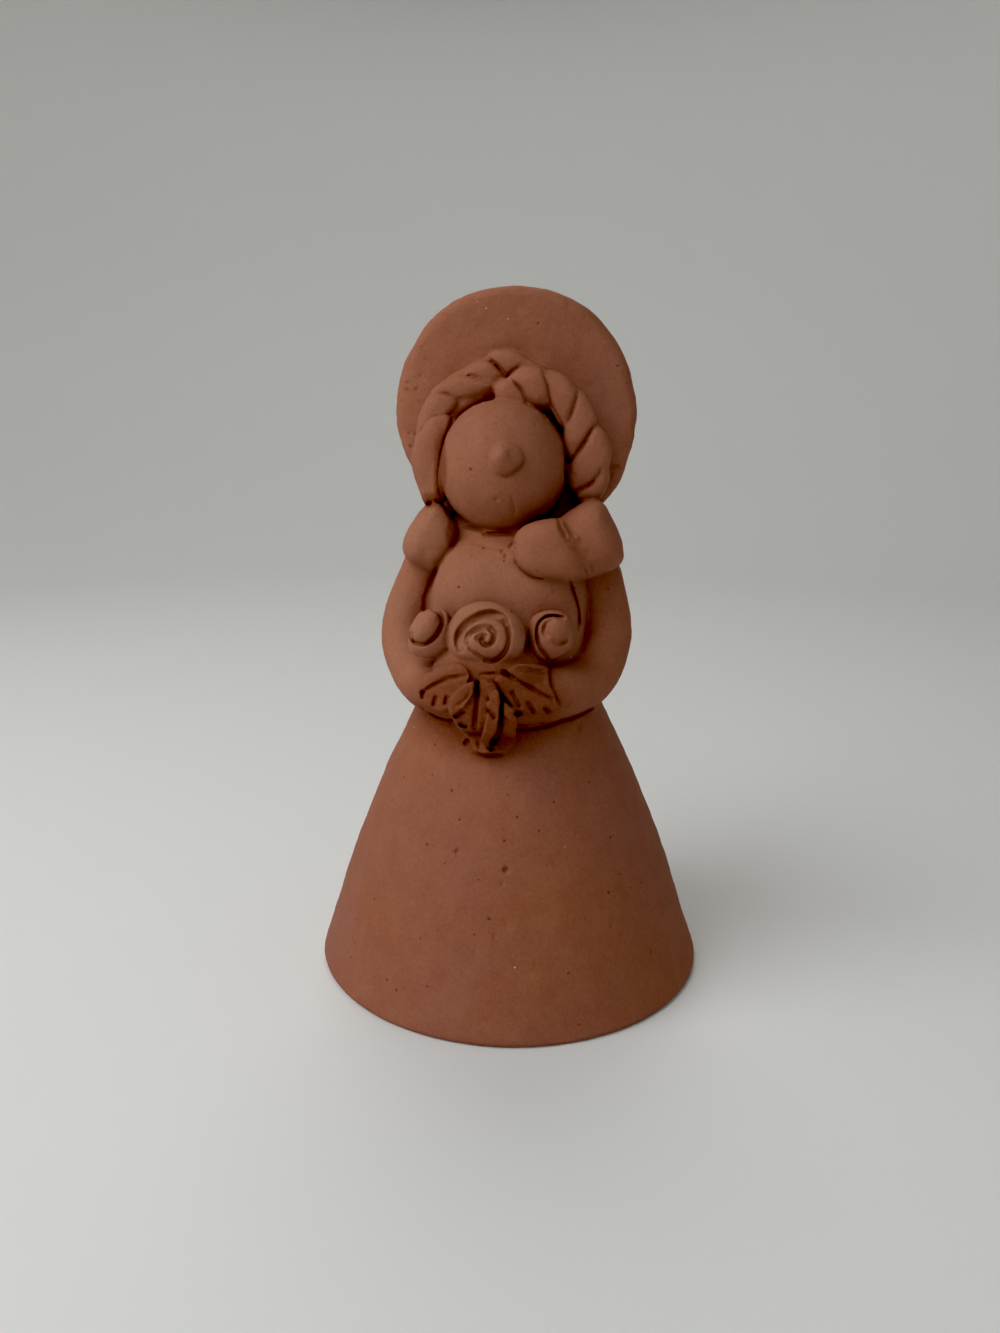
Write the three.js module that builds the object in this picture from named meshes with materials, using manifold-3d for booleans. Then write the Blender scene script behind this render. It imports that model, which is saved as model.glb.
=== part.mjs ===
import * as THREE from 'three';
import { mergeVertices } from 'three/addons/utils/BufferGeometryUtils.js';
import Module from 'manifold-3d';

// A doll of hand-built terracotta: a hollow bell skirt, a round body with folded arms, puffed sleeves,
// a ball head with twisted braids under a wide hat, and three rolled roses with three leaves.
// Its parts were pressed together wet and fired as one, so it is one solid.
// Millimetres, +Z up. The doll faces -Y, and the origin is the centre of its base on the table.

// Skirt: outer radius at four heights, the rounded hem and the hollow inside
const BASE_RADIUS = 41.2;
const HEM_ROUNDING = 0.9;
const HEM_INSET = 0.25;
const KNEE = { z: 26, radius: 32.4 };
const HIP = { z: 50, radius: 21.9 };
const WAIST = { z: 63, radius: 16.5, shift: -0.6 };
const SKIRT_TOP = 70;
const WALL = 6.3;
const HOLLOW_TOP = 47.5;
// The hollow's rounded top, as shares of the inner radius at the hip and of the hollow's height
const HOLLOW_SHOULDER = [1.15, 0.86];
const HOLLOW_CROWN = [0.45, 0.98];

// Body and head, as a centre and three half sizes
const CHEST = { centre: [-1.2, -3.5, 74.5], half: [15.6, 14.2, 17.5] };
const BACK = { centre: [-1.2, 2, 75], half: [19.5, 13.5, 21] };
const HEAD = { centre: [-1.75, -4, 104], half: [12.6, 12.5, 13.2] };
const NOSE = { centre: [0.1, -16.4, 106.2], half: [3, 3.2, 2.9] };
const HAIR = { centre: [-0.8, 2.4, 106], half: [16.6, 8.2, 16.6] };

// Arms: points along the middle of each arm, and its half thickness there
const LEFT_ARM = {
  points: [[-15.5, 0, 89], [-19.4, -2, 80], [-21.9, -4, 70.5], [-18, -10.5, 62.4], [-11.5, -18, 60.3],
    [-4, -21.5, 60.3]],
  radii: [5, 5, 5, 5.2, 4.7, 4],
};
const RIGHT_ARM = {
  points: [[14.5, 0, 89], [17.4, -1, 80], [19.2, -3, 70.5], [16.4, -9, 62.4], [10.5, -16.5, 60.3],
    [2, -21, 60.3]],
  radii: [5, 5, 5.1, 5.2, 4.7, 4],
};

// Sleeves: one puff on the left of the picture, a pinched pair of puffs on the right
const SLEEVES = [
  { centre: [-16.3, -4.5, 90.2], half: [5.4, 7, 7.2], lean: 26 },
  { centre: [15.9, -5, 90.6], half: [6.4, 8.4, 7.2], lean: -24 },
  { centre: [8, -12.2, 88.7], half: [6.8, 5.2, 5.4], lean: -8 },
];

// Hat: a brim behind the head with a low crown. The brim is a little longer from upper left to lower
// right, its top is bent forward and its sides are bent back.
const BRIM_CENTRE = [-0.9, 3.4, 114.6];
const BRIM_LONG_RADIUS = 25.9;
const BRIM_SHORT_RADIUS = 24.7;
const BRIM_SLANT = 45;
const BRIM_LEAN = 1;
const BRIM_EDGE = 1.8;
const BRIM_MIDDLE = 2.4;
const BRIM_RINGS = [0, 0.4, 0.7, 0.93];
const BRIM_TOP_FORWARD = 2.6;
const BRIM_SIDES_BACK = 2.2;
const CROWN = { centre: [-0.9, 7.5, 113.5], half: [15.4, 10, 15.4] };

// Braids: two ropes of two strands that follow the edge of the face, and where along each rope
// the creases between its lumps show
const LEFT_BRAID = {
  points: [[-16.9, -4.5, 98.1], [-16.2, -4, 105.7], [-15.7, -3.4, 111.3], [-13.9, -2.8, 116.4],
    [-10.3, -2.2, 119.4], [-6.2, -1.4, 121.9], [-2.4, -0.8, 124], [1.5, 0.4, 122.8]],
  creases: [0.3, 0.46, 0.66, 0.79],
};
const RIGHT_BRAID = {
  points: [[-1.8, -6.5, 118], [2.9, -5.2, 119.2], [8.9, -3.4, 117.2], [12.9, -2.6, 112.4], [15.1, -2.8, 106.1],
    [15.7, -4, 100]],
  creases: [0.12, 0.31, 0.51, 0.7, 0.92],
};
const STRAND_RADIUS = 2.5;
const STRAND_OFFSET = 1.75;
const END_TWIST = 0.9;

// Roses: strips of clay rolled up, seen from the front
const ROSES = [
  { centre: [-2.1, -22, 74], radius: 7.4, turns: 2.7, depth: 6.5, turn: -5, lift: 4 },
  { centre: [-13.4, -19.5, 74.4], radius: 4.4, turns: 1.3, depth: 5.2, turn: -22, lift: 6 },
  { centre: [9.4, -18.5, 74.6], radius: 4.5, turns: 1.5, depth: 5.2, turn: 20, lift: 6 },
];
const STRIP_THICKNESS = 1.9;
const STRIP_ROUNDING = 0.35;
const STRIP_START = 0.6;
const HEART_SHARE = 0.72;
const HEART_INSET = 1;
const HEART_TAPER = 0.8;
const ROSE_ROOT = 8;

// Leaves: the run of the midrib, the half width, and the punched dots as along, across
const LEAF_HALF_THICKNESS = 1.1;
const LEAF_STEM = 0.16;
const LEAF_BELLY = 0.9;
const LEAF_FULLNESS = 0.7;
const MIDRIB_RADIUS = 0.55;
const MIDRIB_STATIONS = [0.06, 0.3, 0.55, 0.8];
const DOT_HALF = [0.75, 1, 0.98];
const DOT_SINK = 0.4;
const LEAVES = [
  { run: [[-2.4, -26.6, 67], [-1.9, -27.2, 61], [-1.3, -25.4, 55], [-1.1, -23.4, 50.6]],
    half: 6.4,
    facing: [0, -1, 0],
    dots: [[0.45, -0.6], [0.6, -0.35], [0.45, 0.55]] },
  { run: [[-3, -26, 66.6], [-7.5, -26, 66], [-12, -23.6, 64.4], [-16.8, -19.6, 61.8]],
    half: 4.4,
    facing: [-0.4, -1, 0],
    dots: [[0.5, -0.55], [0.68, -0.5], [0.82, -0.3]] },
  { run: [[-1.6, -26, 66.4], [3, -25.6, 64.8], [7.4, -23, 61.8], [11.6, -19.4, 59]],
    half: 5.2,
    facing: [0.35, -1, 0],
    dots: [[0.4, 0.5], [0.6, 0.5], [0.78, 0.35]] },
];

const CLAY = { color: 0x9a5a3e, roughness: 0.88, metalness: 0 };

const manifold = await Module();
manifold.setup();

const vector = ([x, y, z]) => new THREE.Vector3(x, y, z);
const radians = THREE.MathUtils.degToRad;

function signedVolume(points, corners) {
  const [a, b, c] = [new THREE.Vector3(), new THREE.Vector3(), new THREE.Vector3()];
  let sum = 0;
  for (let i = 0; i < corners.length; i += 3) {
    a.fromArray(points, 3 * corners[i]);
    b.fromArray(points, 3 * corners[i + 1]);
    c.fromArray(points, 3 * corners[i + 2]);
    sum += a.dot(b.cross(c));
  }
  return sum / 6;
}

// Turns a closed geometry into a solid with its faces pointing out.
function solid(geometry) {
  geometry.deleteAttribute('normal');
  geometry.deleteAttribute('uv');
  const merged = mergeVertices(geometry);
  const points = merged.attributes.position.array;
  const index = merged.index.array;
  const corners = [];
  for (let i = 0; i < index.length; i += 3) {
    const [a, b, c] = index.slice(i, i + 3);
    if (a !== b && b !== c && c !== a) corners.push(a, b, c);
  }
  if (signedVolume(points, corners) < 0) corners.reverse();
  const mesh = new manifold.Mesh({
    numProp: 3,
    vertProperties: Float32Array.from(points),
    triVerts: Uint32Array.from(corners),
  });
  return new manifold.Manifold(mesh);
}

const joined = (solids) => solids.reduce((sum, next) => sum.add(next));

function ball({ centre, half, lean = 0 }, around = 18, down = 12) {
  const geometry = new THREE.SphereGeometry(1, around, down);
  geometry.rotateX(Math.PI / 2);
  geometry.scale(...half);
  geometry.rotateY(radians(lean));
  geometry.translate(...centre);
  return solid(geometry);
}

function revolved(profile, around) {
  const geometry = new THREE.LatheGeometry(profile, around);
  geometry.rotateX(Math.PI / 2);
  return geometry;
}

const roundEnd = (t, share) => Math.sqrt(Math.max(0, 1 - (1 - Math.min(1, t / share)) ** 2));

// A roll of clay with rounded ends, bent along a curve. widthAt and thicknessAt give its half sizes,
// and its flat side faces the way that facingAt gives.
function roll(curve, { widthAt, thicknessAt = widthAt, facingAt, around = 12, steps = 20, endShare = 0.12 }) {
  const profile = [];
  for (let i = 0; i <= steps; i++) {
    const t = (1 - Math.cos((Math.PI * i) / steps)) / 2;
    profile.push(new THREE.Vector2(roundEnd(t, endShare) * roundEnd(1 - t, endShare), t));
  }
  const geometry = new THREE.LatheGeometry(profile, around);
  const position = geometry.attributes.position;
  const vertex = new THREE.Vector3();
  for (let i = 0; i < position.count; i++) {
    vertex.fromBufferAttribute(position, i);
    const t = THREE.MathUtils.clamp(vertex.y, 0, 1);
    const along = curve.getTangent(t);
    const across = along.clone().cross(facingAt(t)).normalize();
    const outward = across.clone().cross(along).normalize();
    const place = curve.getPoint(t);
    place.addScaledVector(across, vertex.x * widthAt(t));
    place.addScaledVector(outward, vertex.z * thicknessAt(t));
    position.setXYZ(i, place.x, place.y, place.z);
  }
  return solid(geometry);
}

const curveThrough = (points) => new THREE.CatmullRomCurve3(points.map(vector));

// Reads a value along evenly spaced stations.
function between(stations) {
  return (t) => {
    const at = t * (stations.length - 1);
    const low = Math.min(Math.floor(at), stations.length - 2);
    return THREE.MathUtils.lerp(stations[low], stations[low + 1], at - low);
  };
}

// Skirt

function skirtBell() {
  const hemRadius = BASE_RADIUS - HEM_INSET;
  const side = new THREE.SplineCurve([
    new THREE.Vector2(hemRadius, HEM_ROUNDING),
    new THREE.Vector2(KNEE.radius, KNEE.z),
    new THREE.Vector2(HIP.radius, HIP.z),
    new THREE.Vector2(WAIST.radius, WAIST.z),
  ]);
  const profile = [new THREE.Vector2(0, 0)];
  for (const angle of [0, 30, 60]) {
    const turn = radians(angle);
    profile.push(new THREE.Vector2(
      hemRadius - HEM_ROUNDING * (1 - Math.sin(turn)),
      HEM_ROUNDING * (1 - Math.cos(turn)),
    ));
  }
  profile.push(...side.getPoints(8), new THREE.Vector2(0, SKIRT_TOP));
  const geometry = revolved(profile, 44);
  const position = geometry.attributes.position;
  for (let i = 0; i < position.count; i++) {
    position.setX(i, position.getX(i) + WAIST.shift * (position.getZ(i) / WAIST.z) ** 2);
  }
  return solid(geometry);
}

function skirtHollow() {
  const mouth = BASE_RADIUS - WALL;
  const roof = ([across, up]) => new THREE.Vector2(across * (HIP.radius - WALL), up * HOLLOW_TOP);
  const inside = new THREE.SplineCurve([
    new THREE.Vector2(mouth, 0),
    new THREE.Vector2(KNEE.radius - WALL, KNEE.z),
    roof(HOLLOW_SHOULDER),
    roof(HOLLOW_CROWN),
    new THREE.Vector2(0, HOLLOW_TOP),
  ]);
  const profile = [new THREE.Vector2(0, -1), new THREE.Vector2(mouth, -1), ...inside.getPoints(6)];
  return solid(revolved(profile, 26));
}

// Arms

function arm({ points, radii }) {
  const curve = curveThrough(points);
  return roll(curve, {
    widthAt: between(radii),
    facingAt: (t) => curve.getPoint(t).setZ(0),
    around: 9,
    steps: 12,
  });
}

// Hat

function hat() {
  const face = [];
  const back = [];
  for (const share of BRIM_RINGS) {
    const half = THREE.MathUtils.lerp(BRIM_MIDDLE, BRIM_EDGE, share * share);
    face.push(new THREE.Vector2(share, -half));
    back.unshift(new THREE.Vector2(share, half));
  }
  const edge = new THREE.Vector2(1, 0);
  const brim = new THREE.LatheGeometry([...face, edge, ...back], 40);
  brim.scale(BRIM_SHORT_RADIUS, 1, BRIM_LONG_RADIUS);
  brim.rotateY(radians(-BRIM_SLANT));
  const position = brim.attributes.position;
  for (let i = 0; i < position.count; i++) {
    const side = position.getX(i) / BRIM_SHORT_RADIUS;
    const up = position.getZ(i) / BRIM_LONG_RADIUS;
    position.setY(i, position.getY(i) + BRIM_SIDES_BACK * side * side - BRIM_TOP_FORWARD * up * up);
  }
  brim.rotateX(radians(-BRIM_LEAN));
  brim.translate(...BRIM_CENTRE);
  return solid(brim).add(ball(CROWN, 18, 8));
}

// Braids

class Strand extends THREE.Curve {
  constructor(core, creases, start) {
    super();
    Object.assign(this, { core, start });
    this.places = [0, ...creases, 1];
    this.halfTurns = [-END_TWIST, ...creases.keys(), creases.length - 1 + END_TWIST];
  }

  angleAt(t) {
    const next = Math.max(1, this.places.findIndex((place) => place >= t));
    const share = (t - this.places[next - 1]) / (this.places[next] - this.places[next - 1]);
    return this.start + Math.PI * THREE.MathUtils.lerp(this.halfTurns[next - 1], this.halfTurns[next], share);
  }

  getPoint(t, target = new THREE.Vector3()) {
    const angle = this.angleAt(t);
    const outward = this.core.getPoint(t).sub(vector(HEAD.centre)).setY(0).normalize();
    const front = this.core.getTangent(t).cross(outward).normalize();
    return target.copy(this.core.getPoint(t))
      .addScaledVector(outward, STRAND_OFFSET * Math.cos(angle))
      .addScaledVector(front, STRAND_OFFSET * Math.sin(angle));
  }
}

function braid({ points, creases }) {
  const core = curveThrough(points);
  return joined([0, Math.PI].map((start) => roll(new Strand(core, creases, start), {
    widthAt: () => STRAND_RADIUS,
    facingAt: () => new THREE.Vector3(0.1, -1, 0.1),
    around: 6,
    steps: 20,
    endShare: 0.05,
  })));
}

// Roses

function placeRose(geometry, { centre, turn, lift }) {
  // A rose is made lying on its back, and then stood up to face the front.
  geometry.rotateX(Math.PI / 2);
  geometry.rotateX(radians(-lift));
  geometry.rotateZ(radians(turn));
  geometry.translate(...centre);
  return solid(geometry);
}

function rose(at) {
  const { radius, turns, depth } = at;
  const inner = STRIP_THICKNESS * 0.5;
  const outer = radius - STRIP_THICKNESS / 2;
  const steps = Math.round(turns * 8);
  const edge = (side) => {
    const points = [];
    for (let i = 0; i <= steps; i++) {
      const t = i / steps;
      const distance = THREE.MathUtils.lerp(inner, outer, t) + side * (STRIP_THICKNESS / 2 - STRIP_ROUNDING);
      const angle = 2 * Math.PI * turns * t + STRIP_START;
      points.push(new THREE.Vector2(distance * Math.cos(angle), distance * Math.sin(angle)));
    }
    return points;
  };
  const strip = new THREE.Shape([...edge(1), ...edge(-1).reverse()]);
  const rolled = new THREE.ExtrudeGeometry(strip, {
    depth: depth - STRIP_ROUNDING,
    bevelThickness: STRIP_ROUNDING,
    bevelSize: STRIP_ROUNDING,
    bevelSegments: 1,
  });
  const heartTop = HEART_SHARE * depth;
  const wide = radius - HEART_INSET;
  const heart = new THREE.CylinderGeometry(wide, wide - HEART_TAPER, heartTop + ROSE_ROOT, 12);
  heart.rotateX(Math.PI / 2);
  heart.translate(0, 0, (heartTop - ROSE_ROOT) / 2);
  return placeRose(rolled, at).add(placeRose(heart, at));
}

// Leaves

// The half width along a leaf, as a share of its widest: cut off at the stem, pointed at the tip
function leafShape(t) {
  const along = Math.min(1, LEAF_STEM + (1 - LEAF_STEM) * t);
  return Math.sin(Math.PI * along ** LEAF_BELLY) ** LEAF_FULLNESS;
}

function leaf({ run, half, facing, dots }) {
  const curve = curveThrough(run);
  const front = vector(facing).normalize();
  const blade = roll(curve, {
    widthAt: (t) => half * leafShape(t),
    thicknessAt: () => LEAF_HALF_THICKNESS,
    facingAt: () => front,
    around: 6,
    steps: 8,
    endShare: 0.1,
  });
  const raised = (t) => curve.getPoint(t).addScaledVector(front, LEAF_HALF_THICKNESS);
  const midrib = roll(new THREE.CatmullRomCurve3(MIDRIB_STATIONS.map(raised)), {
    widthAt: () => MIDRIB_RADIUS,
    facingAt: () => front,
    around: 3,
    steps: 3,
  });
  const marks = dots.map(([t, side]) => {
    const across = curve.getTangent(t).cross(front).normalize();
    const centre = raised(t)
      .addScaledVector(across, side * half * leafShape(t))
      .addScaledVector(front, -DOT_SINK);
    return ball({ centre: centre.toArray(), half: DOT_HALF }, 4, 3);
  });
  return blade.subtract(joined([midrib, ...marks]));
}

const body = joined([
  skirtBell(),
  ball(CHEST),
  ball(BACK),
  arm(LEFT_ARM),
  arm(RIGHT_ARM),
  ...SLEEVES.map((sleeve) => ball(sleeve, 14, 8)),
  hat(),
  ball(HAIR, 16, 8),
  ball(HEAD, 22, 14),
  ball(NOSE, 9, 5),
  braid(LEFT_BRAID),
  braid(RIGHT_BRAID),
  ...ROSES.map(rose),
  ...LEAVES.map(leaf),
]).subtract(skirtHollow());

const { vertProperties, triVerts } = body.getMesh();
const geometry = new THREE.BufferGeometry();
geometry.setAttribute('position', new THREE.BufferAttribute(vertProperties, 3));
geometry.setIndex(new THREE.BufferAttribute(triVerts, 1));
geometry.computeVertexNormals();

const figurine = new THREE.Mesh(geometry, new THREE.MeshStandardMaterial(CLAY));
figurine.name = 'terracotta_figurine';

const group = new THREE.Group();
group.add(figurine);

export default group;
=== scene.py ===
import bpy
import numpy as np
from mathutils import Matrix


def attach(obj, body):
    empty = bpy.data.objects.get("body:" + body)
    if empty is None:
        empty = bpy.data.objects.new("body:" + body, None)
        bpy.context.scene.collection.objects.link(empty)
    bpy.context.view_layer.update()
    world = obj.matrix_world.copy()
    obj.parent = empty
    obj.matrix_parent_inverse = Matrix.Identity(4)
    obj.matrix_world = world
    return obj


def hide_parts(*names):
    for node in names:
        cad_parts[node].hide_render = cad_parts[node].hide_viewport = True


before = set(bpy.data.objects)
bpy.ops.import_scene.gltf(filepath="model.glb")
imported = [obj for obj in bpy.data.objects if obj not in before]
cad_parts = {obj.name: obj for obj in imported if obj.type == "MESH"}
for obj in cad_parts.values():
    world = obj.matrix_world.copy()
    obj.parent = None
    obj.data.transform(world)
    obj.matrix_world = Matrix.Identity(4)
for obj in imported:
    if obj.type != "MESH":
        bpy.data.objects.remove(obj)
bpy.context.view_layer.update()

import openvdb
from mathutils import Matrix, Vector

# A doll of hand-built terracotta. It is shaped here as wet clay would be: balls, rolls and sheets are
# pressed together and scored in a grid of signed distances, and the grid becomes one closed mesh.
# Sizes are in millimetres, in the frame of the CAD part: +X to the right of the picture, -Y towards
# the viewer, +Z up. Places marked px are pixels of the 1000 x 1333 photograph; each of them lands on
# the clay that the camera sees there.

NODE = "terracotta_figurine"
MM = 0.001
VOXEL = 0.24
MOST_TRIANGLES = 190000
GRID_LOW = (-43, -43, -2)
GRID_HIGH = (43, 43, 142)
FAR = 5.0
REACH = 3.5

# The photograph's view
PHOTO_SIZE_PX = (1000, 1333)
FOCAL_PX = 1001.0
VIEW_DISTANCE = 205.0
VIEW_HEIGHT = 111.3
VIEW_SIDE = -2.6
VIEW_TURN = 7.0
VIEW_PITCH = 13.35
VIEW_ROLL = 0.6
SENSOR_MM = 36.0

# Skirt: outer radius at each height, the lean of its axis, the wall and the hollow
SKIRT_HEIGHTS = [0, 14, 26, 38, 50, 62]
SKIRT_RADII = [41.3, 36.5, 32.4, 27.7, 21.9, 16.9]
SKIRT_TOP = 68.0
SKIRT_COSINE = 0.93
SKIRT_LEAN = -0.6
SKIRT_LEAN_HEIGHT = 62.0
HEM_ROUNDING = 1.8
HEM_BULGE = 0.9
HEM_BULGE_ANGLE = -75.0
HEM_BULGE_HEIGHT = 22.0
WALL = 6.3
HOLLOW_TOP = 46.5
HOLLOW_ROUNDING = 16.0
SKIRT_TOP_ROUNDING = 6.0

# Body, as balls: centre and half sizes
CHEST = ([-0.2, -4.0, 74.5], [15.6, 12.9, 17.4])
CHEST_FULLNESS = 2.8
BACK = ([-1.0, 2.0, 75.0], [19.3, 13.5, 21.0])
SHOULDERS = ([-1.0, 0.5, 88.0], [17.0, 8.5, 9.0])
NECK = ([-1.4, -2.5, 90.0], [8.5, 7.5, 6.0])
NAPE = ([-1.0, 3.0, 93.5], [15.5, 5.5, 8.0])
HANDS = ([-2.5, -17.5, 65.5], [11.0, 8.0, 7.5])

# Arms: points along the middle of each roll, and its radius there
LEFT_ARM = ([[-15.5, 0, 89], [-19.4, -2, 80], [-21.9, -4, 70.5], [-18, -10.5, 63.0], [-11, -17.5, 61.2],
             [-3, -21, 61.2]], [4.7, 5, 5.2, 5.1, 4.9, 4.6])
RIGHT_ARM = ([[14.5, 0, 89], [17.6, -1, 80], [19.3, -3, 70.5], [16.2, -9, 63.2], [10, -16, 61.6],
              [2, -20.6, 61.0]], [4.7, 5, 5.2, 5.3, 5.3, 4.8])
ARM_STEPS = 28

# Head: a ball with a nose pinched out of it, and the hair under the braids
HEAD = ([-1.75, -4.0, 104.0], [12.6, 12.5, 13.1])
NOSE = ([(493.5, 466), (492.5, 457), (496, 449.5), (503, 445.5), (511, 445), (518, 447.5), (522.5, 453),
         (523, 460), (518.5, 467), (511, 473), (503, 475), (497, 472.5)], -15.9, 1.9)
NOSE_TIP = ([(495, 456), (496, 450), (501, 447), (507, 449), (509, 455), (507, 461), (501, 464),
             (496, 461)], -16.3, 2.9)
NOSE_BLEND = 2.2
HAIR = ([-0.8, 2.6, 105.5], [16.0, 6.6, 15.8])

# Hat: the brim's outline in px, the place of its middle, its lean, half its thickness, and how far its
# top is bent forward and its sides back
BRIM_OUTLINE = [(515, 285), (484, 289), (460, 297), (438, 311), (423, 328), (410, 352), (401, 374),
                (396.5, 400), (397, 424), (403, 445), (414, 470), (432, 500), (462, 525), (505, 538),
                (550, 534), (590, 516), (617, 487), (629, 457), (636, 430), (637, 407), (633, 385),
                (624, 358), (608, 331), (590, 311), (568, 298), (543, 289)]
BRIM_CENTRE = [-0.9, 3.4, 114.6]
BRIM_LEAN = 1.0
BRIM_HALF_EDGE = 1.9
BRIM_HALF_MIDDLE = 2.4
BRIM_TOP_FORWARD = 2.6
BRIM_SIDES_BACK = 2.2
BRIM_REACH = (28.0, 8.0, 28.0)
CROWN = ([-0.9, 7.5, 113.5], [15.4, 10.0, 15.4])

# Lumps of the twisted braids, each an outline in px, the depth Y of its middle and half its thickness
LEFT_LUMPS = {
    "top": ([(486, 357), (494, 350), (505, 348.5), (516, 350.5), (530, 359), (548, 370), (535, 376),
             (512, 378), (503, 376), (494, 366)], -0.8, 2.3),
    "second": ([(461, 375), (466, 369), (475, 362), (486, 359), (495, 362), (505, 373), (504, 379),
                (494, 384), (474, 381)], -1.4, 2.1),
    "third": ([(431, 394), (436, 386), (446, 379.5), (458, 374.5), (472, 374), (486, 377), (496, 384),
               (490, 391), (474, 398), (459, 401), (444, 398)], -2.2, 2.3),
    "fourth": ([(418, 431), (420, 419), (424, 408), (430, 397), (438, 391), (448, 391), (458, 396),
                (458, 404), (452, 413), (444, 419), (432, 425), (424, 433)], -3.0, 2.4),
    "end": ([(412, 460), (415, 447), (420, 432), (427, 419), (436, 412), (447, 413), (451, 421), (449, 432),
             (446, 445), (443, 458), (441, 472), (441, 488), (438, 505), (428, 506), (420, 490), (414, 476)],
            -4.4, 2.8),
}
RIGHT_LUMPS = {
    "first": ([(494, 389), (499, 381.5), (507, 378.5), (516, 380), (524, 387), (531, 398), (528, 407),
               (512, 409), (498, 404)], -4.2, 2.8),
    "second": ([(507, 378), (513, 372), (521, 367), (531, 366), (542, 368), (550, 376), (553, 389),
                (552, 402), (541, 407), (530, 406), (523, 397), (515, 386)], -4.4, 3.0),
    "third": ([(541, 373), (548, 369.5), (559, 372), (567, 377), (575, 386), (582, 393), (579, 406),
               (574, 417), (567, 432), (558, 424), (550, 410), (545, 397)], -3.8, 2.9),
    "fourth": ([(575, 392), (583, 391), (590, 399), (595, 409), (598, 419), (596, 430), (588, 444),
                (579, 456), (572, 461), (565, 454), (562, 442), (562, 428), (566, 414)], -3.6, 3.0),
    "fifth": ([(591, 428), (597, 424), (604, 429), (609, 438), (612, 450), (611, 461), (607, 473), (599, 483),
               (587, 491), (575, 493), (569, 487), (567, 477), (568, 467), (574, 455), (583, 442)],
              -3.8, 3.1),
    "end": ([(600, 466), (609, 469), (610, 479), (607, 489), (601, 499), (589, 504), (577, 500), (577, 490),
             (589, 484)], -3.6, 2.7),
}

LUMP_FULLNESS = 2.7

# Strands under the lumps, as points px with their depth Y, and the radius
UNDER_STRANDS = [
    ([(506, 366, 0.6), (482, 373, 0.2), (455, 387, -0.6), (436, 408, -1.4), (428, 440, -2.6),
      (429, 475, -3.6), (434, 496, -4.0)], 2.5),
    ([(512, 391, -2.6), (540, 386, -2.4), (562, 398, -2.2), (578, 424, -2.2), (589, 455, -2.4),
      (591, 486, -2.6)], 2.9),
    ([(500, 385, -1.6), (486, 391, -1.8), (474, 398, -2.0), (464, 404, -2.2), (455, 412, -2.4),
      (448, 424, -2.6)], 1.6),
    ([(449, 424, -3.4), (444, 442, -4.6), (441, 462, -5.6), (439, 480, -5.8), (436, 496, -5.4)], 1.7),
    ([(527, 401, -3.6), (540, 402, -3.4), (550, 404, -3.2)], 1.5),
]
STRAND_STEPS = 20

# Sleeves, as the braids' lumps are given
LEFT_SLEEVE = ([(434, 501), (420, 511), (410, 525), (403, 540), (402.5, 552), (409, 562), (423, 567),
                (434, 571), (446, 563), (456, 549), (460, 532), (452, 517), (443, 505)], -4.6, 6.8)
RIGHT_SLEEVE = [
    ([(558, 522), (568, 511), (583, 502), (595, 500), (604, 504), (612, 518), (619, 532), (623, 546),
      (623, 559), (615, 568), (600, 573), (584, 579), (572, 580), (558, 574), (556, 545)], -6.4, 9.0),
    ([(560, 520), (544, 520), (528, 524), (516.5, 533), (512, 547), (513.5, 561), (521, 571.5), (533, 578.5),
      (546, 579.5), (559, 580), (572, 580), (583, 567), (578, 548), (569, 531)], -13.4, 5.6),
]
RIGHT_SLEEVE_BLEND = 2.0
SLEEVE_FULLNESS = 2.8

# Roses, as the braids' lumps are given, with the left rose's bud
ROSES = {
    "left": ([(409, 643), (411, 628), (419, 614), (432, 609), (446, 611), (452, 622), (452, 638), (449, 651),
              (438, 656.5), (424, 657), (413, 653)], -18.8, 3.6),
    "bud": ([(412.5, 636), (417, 625), (426, 614), (436, 610), (441, 616), (440, 627), (434, 637),
             (425, 643.5), (415, 642)], -21.2, 2.2),
    "right": ([(528, 640), (529, 625), (536, 615), (548, 611), (560, 612), (569, 618), (573, 631), (571, 646),
               (560, 655), (545, 660), (534, 657)], -18.2, 4.0),
    "centre": ([(447.5, 640), (451, 622), (462, 608), (480, 602), (500, 604), (517, 615), (525.5, 632),
                (524, 650), (514, 666), (498, 675), (478, 674), (460, 665), (450, 653)], -21.0, 4.4),
}

# Grooves, each a line in px, its width and its depth
ROSE_GROOVES = [
    ([(484, 636), (482, 641), (486, 645), (491, 643.5), (494, 638), (494, 632.5), (490, 629)], 0.8, 1.4),
    ([(490, 628.5), (484, 628), (476, 630), (469, 635), (466.5, 643)], 1.15, 1.3),
    ([(467.5, 643), (471, 650), (478, 655), (486, 660)], 0.45, 0.8),
    ([(486, 660), (493, 661), (500, 657), (506, 649), (508.5, 640), (508, 629), (504, 621)], 0.75, 1.3),
    ([(505, 621), (497, 615), (486, 614.5), (476, 618), (467, 624), (460.5, 632), (458.5, 641), (461, 649)],
     1.45, 1.5),
    ([(479, 638), (484, 635)], 1.3, 1.6),
    ([(412, 634), (414, 641), (421, 644), (430, 641), (437.5, 633), (442, 622), (440, 614), (434, 610)],
     0.8, 1.5),
    ([(437, 613), (439, 618), (436, 622)], 0.4, 0.6),
    ([(563, 618), (552, 616), (543, 619), (538, 626), (537, 636), (540, 647), (547, 657)], 0.6, 1.3),
    ([(552, 621), (546, 624), (544, 631), (547, 636)], 0.8, 1.1),
    ([(567, 635), (565, 641), (559, 643.5), (554, 641)], 0.8, 1.0),
]

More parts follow.
